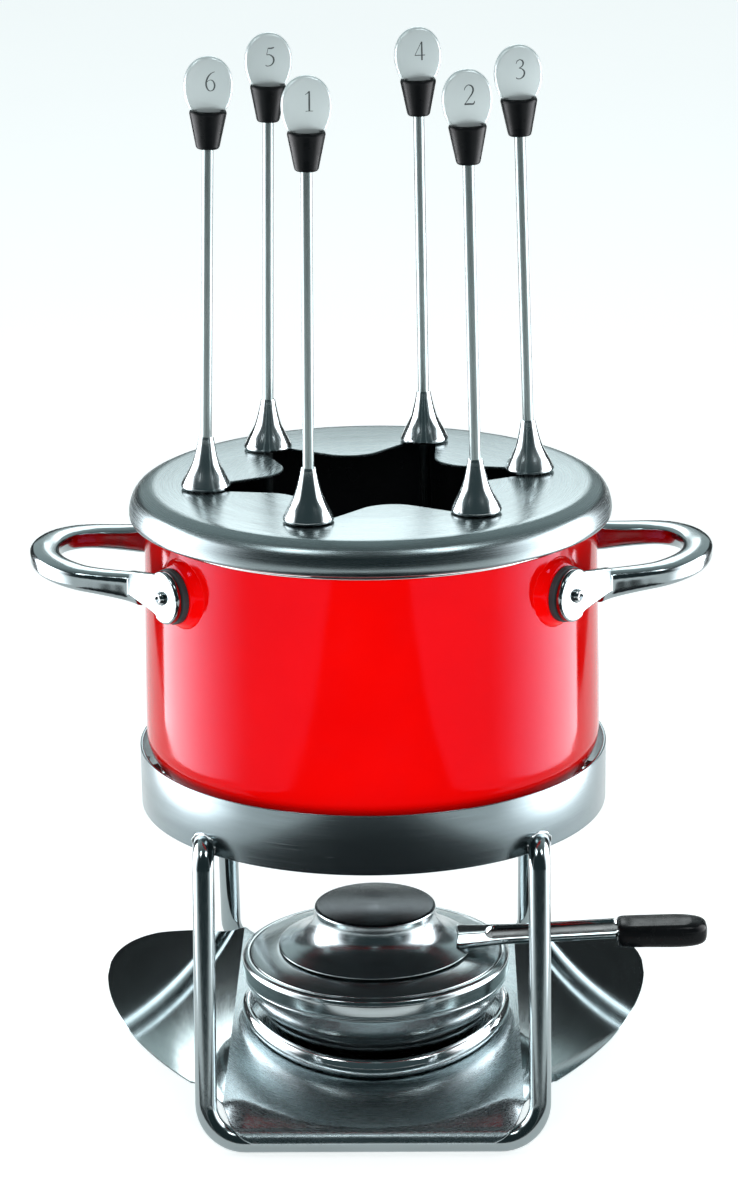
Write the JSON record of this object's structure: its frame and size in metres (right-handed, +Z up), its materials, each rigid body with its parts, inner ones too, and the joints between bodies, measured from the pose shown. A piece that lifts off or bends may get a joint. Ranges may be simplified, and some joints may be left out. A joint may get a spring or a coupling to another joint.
{
  "type": "fondue pot set",
  "caption": "Red enamelled fondue pot on a bent-rod stand with a burner, drip tray, snuffer and a lid that holds the forks upright.",
  "frame": {"origin": "on the table, under the axis of the pot", "axes": "+Z up, -Y towards the viewer at the front of the set, +X to the right, where the snuffer grip points"},
  "size_m": [0.2667, 0.2048, 0.4055],
  "materials": {
    "polished_steel": "polished stainless steel",
    "satin_steel": "satin brushed stainless steel",
    "red_enamel": "glossy red enamel",
    "black_plastic": "black heat-resistant plastic",
    "grey_gasket": "dark spacer",
    "burner_bowl_steel": "darker steel",
    "fuel_wadding": "fibre wadding",
    "burner_gauze": "wire gauze"
  },
  "bodies": {
    "stand": {"support_ring": "satin_steel", "pot_rest_1": "polished_steel", "pot_rest_2": "polished_steel", "pot_rest_3": "polished_steel", "pot_rest_4": "polished_steel", "front_leg_frame": "polished_steel", "rear_leg_frame": "polished_steel", "drip_tray": "satin_steel", "burner_seat_ring": "polished_steel"},
    "burner": {"burner_bowl": "burner_bowl_steel", "burner_housing": "satin_steel", "burner_top_plate": "satin_steel", "fuel_chamber": "burner_bowl_steel", "fuel_wadding": "fuel_wadding", "burner_gauze": "burner_gauze"},
    "snuffer": {"snuffer_cap": "polished_steel", "snuffer_arm": "polished_steel", "snuffer_grip": "black_plastic"},
    "pot": {"pot_body": "red_enamel", "pot_rim_band": "polished_steel", "left_handle": "polished_steel", "right_handle": "polished_steel", "front_left_gasket": "grey_gasket", "front_right_gasket": "grey_gasket", "rear_left_gasket": "grey_gasket", "rear_right_gasket": "grey_gasket", "front_left_screw": "polished_steel", "front_right_screw": "polished_steel", "rear_left_screw": "polished_steel", "rear_right_screw": "polished_steel"},
    "lid": {"fork_rest_lid": "satin_steel"},
    "fork_1": {"fork_1_shaft": "polished_steel", "fork_1_bell": "polished_steel", "fork_1_collar": "black_plastic", "fork_1_paddle": "satin_steel"},
    "fork_2": {"fork_2_shaft": "polished_steel", "fork_2_bell": "polished_steel", "fork_2_collar": "black_plastic", "fork_2_paddle": "satin_steel"},
    "fork_3": {"fork_3_shaft": "polished_steel", "fork_3_bell": "polished_steel", "fork_3_collar": "black_plastic", "fork_3_paddle": "satin_steel"},
    "fork_4": {"fork_4_shaft": "polished_steel", "fork_4_bell": "polished_steel", "fork_4_collar": "black_plastic", "fork_4_paddle": "satin_steel"},
    "fork_5": {"fork_5_shaft": "polished_steel", "fork_5_bell": "polished_steel", "fork_5_collar": "black_plastic", "fork_5_paddle": "satin_steel"},
    "fork_6": {"fork_6_shaft": "polished_steel", "fork_6_bell": "polished_steel", "fork_6_collar": "black_plastic", "fork_6_paddle": "satin_steel"}
  },
  "joints": [
    {"name": "pot_lift", "type": "slide", "parent": "stand", "child": "pot", "axis": [0, 0, 1], "range_m": [0, 0.08]},
    {"name": "lid_lift", "type": "slide", "parent": "pot", "child": "lid", "axis": [0, 0, 1], "range_m": [0, 0.16]},
    {"name": "burner_lift", "type": "slide", "parent": "stand", "child": "burner", "axis": [0, 0, 1], "range_m": [0, 0.03]},
    {"name": "snuffer_lift", "type": "slide", "parent": "burner", "child": "snuffer", "axis": [0, 0, 1], "range_m": [0, 0.025]},
    {"name": "fork_1_lift", "type": "slide", "parent": "lid", "child": "fork_1", "axis": [0.0101, 0, 0.9999], "range_m": [0, 0.115]},
    {"name": "fork_2_lift", "type": "slide", "parent": "lid", "child": "fork_2", "axis": [-0.0191, 0, 0.9998], "range_m": [0, 0.115]},
    {"name": "fork_3_lift", "type": "slide", "parent": "lid", "child": "fork_3", "axis": [-0.0292, 0, 0.9996], "range_m": [0, 0.115]},
    {"name": "fork_4_lift", "type": "slide", "parent": "lid", "child": "fork_4", "axis": [-0.0101, 0, 0.9999], "range_m": [0, 0.115]},
    {"name": "fork_5_lift", "type": "slide", "parent": "lid", "child": "fork_5", "axis": [0.0191, 0, 0.9998], "range_m": [0, 0.115]},
    {"name": "fork_6_lift", "type": "slide", "parent": "lid", "child": "fork_6", "axis": [0.0292, 0, 0.9996], "range_m": [0, 0.115]}
  ]
}
